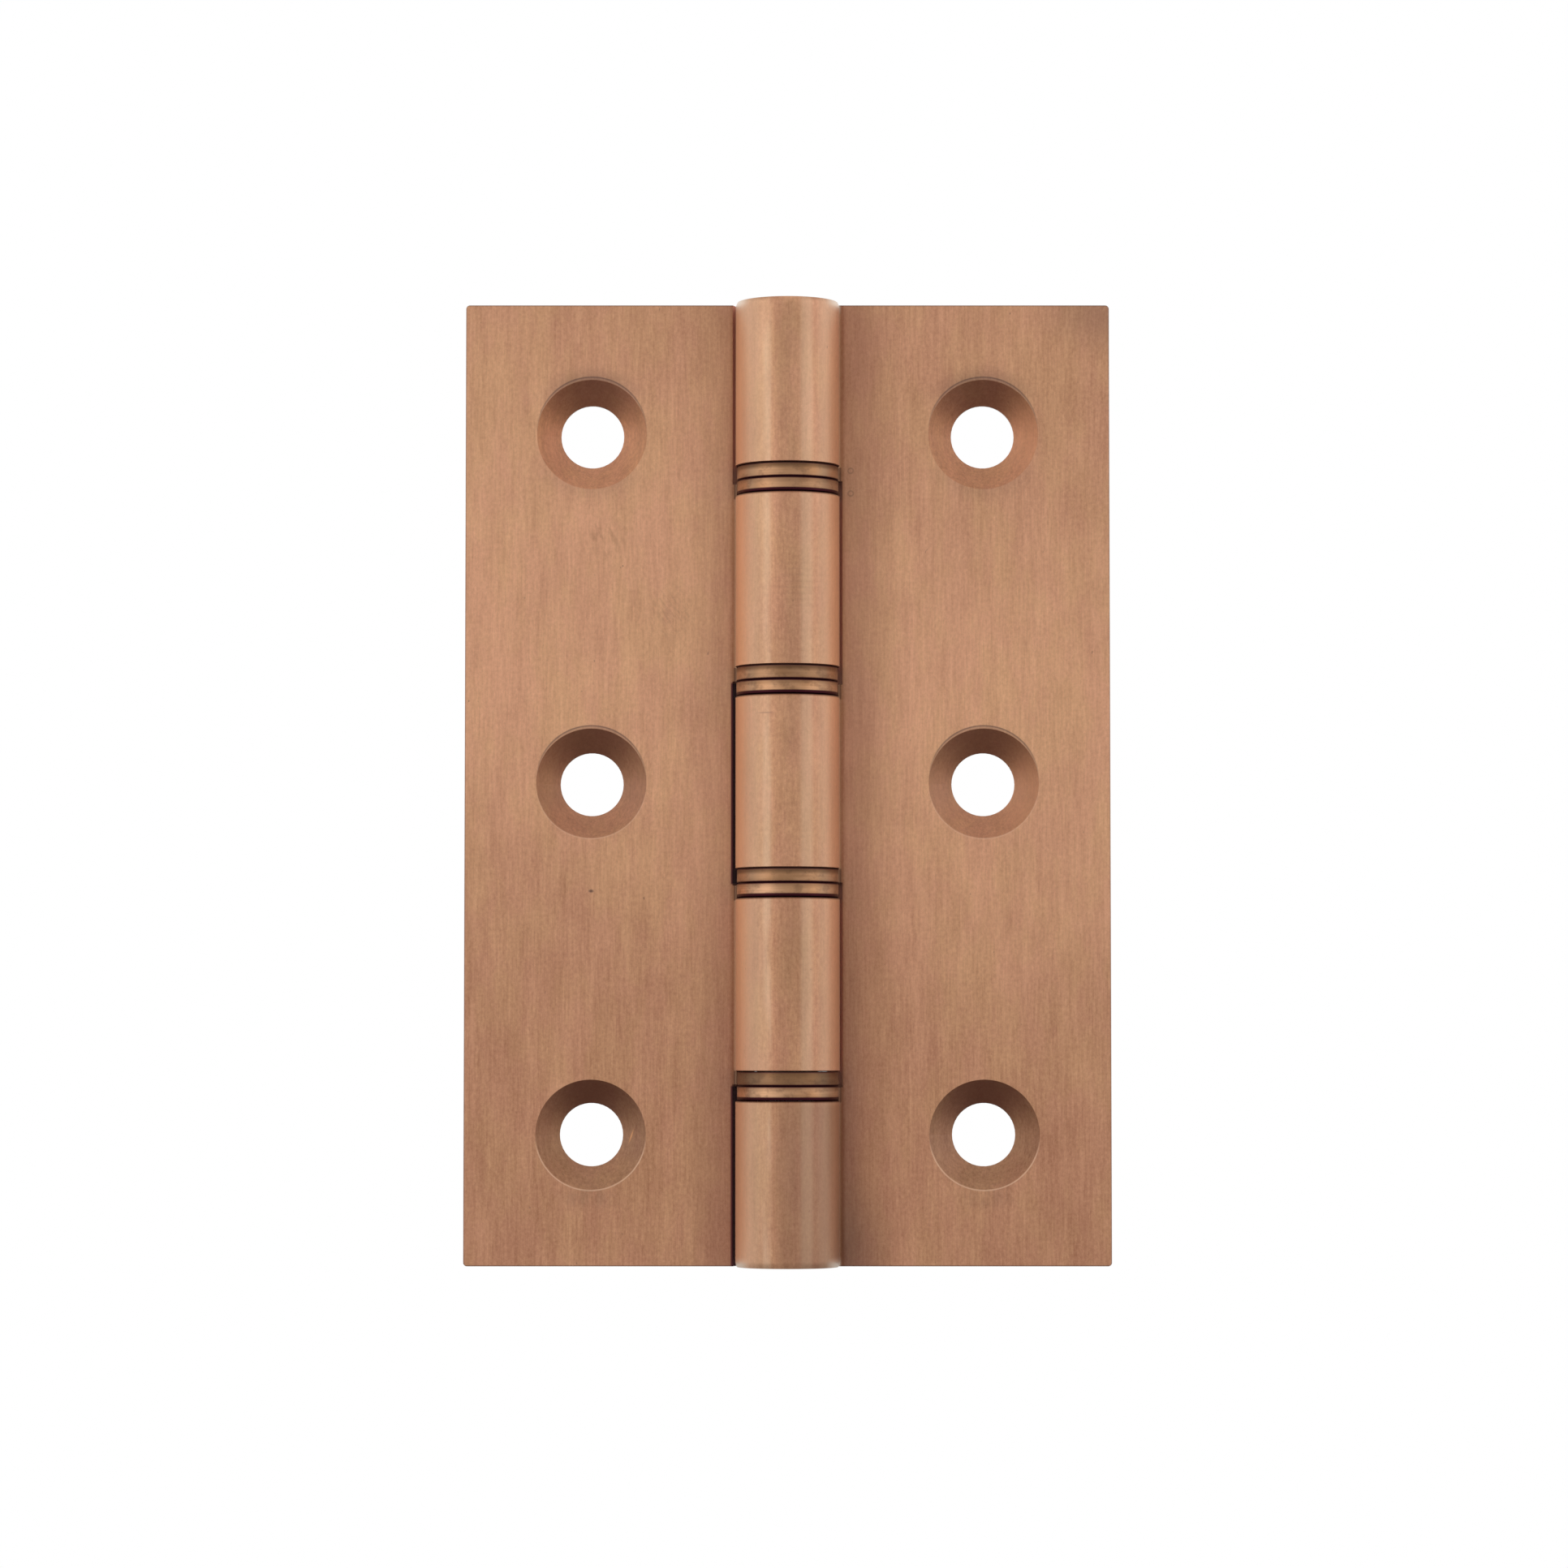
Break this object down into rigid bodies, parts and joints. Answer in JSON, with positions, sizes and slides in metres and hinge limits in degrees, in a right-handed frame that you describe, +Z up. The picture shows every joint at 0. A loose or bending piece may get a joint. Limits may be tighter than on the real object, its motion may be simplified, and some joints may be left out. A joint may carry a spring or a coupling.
{
  "type": "washered butt hinge",
  "caption": "Solid drawn metal butt hinge opened flat, with interleaved knuckles, paired washers between them, a fixed pin and countersunk screw holes in each leaf.",
  "frame": {"origin": "on the pin's axis at half the hinge's height", "axes": "+Z up the pin as the hinge hangs on a door, +X across the fixed leaf, -Y the front, where the barrel stands proud and the countersinks open"},
  "size_m": [0.051, 0.0082, 0.076],
  "materials": {
    "leaf_copper": "satin brushed copper colour on drawn brass",
    "pin_steel": "plain turned steel",
    "washer_bronze": "plain bronze, slightly darker than the leaves"
  },
  "bodies": {
    "fixed_side": {"fixed_leaf": "leaf_copper", "hinge_pin": "pin_steel", "washer_1_upper": "washer_bronze", "washer_2_lower": "washer_bronze", "washer_3_upper": "washer_bronze", "washer_4_lower": "washer_bronze"},
    "moving_side": {"moving_leaf": "leaf_copper", "washer_1_lower": "washer_bronze", "washer_2_upper": "washer_bronze", "washer_3_lower": "washer_bronze", "washer_4_upper": "washer_bronze"}
  },
  "joints": [
    {"name": "leaf_swing", "type": "hinge", "parent": "fixed_side", "child": "moving_side", "pos_m": [0, 0, 0], "axis": [0, 0, 1], "range_deg": [-85, 180]}
  ]
}
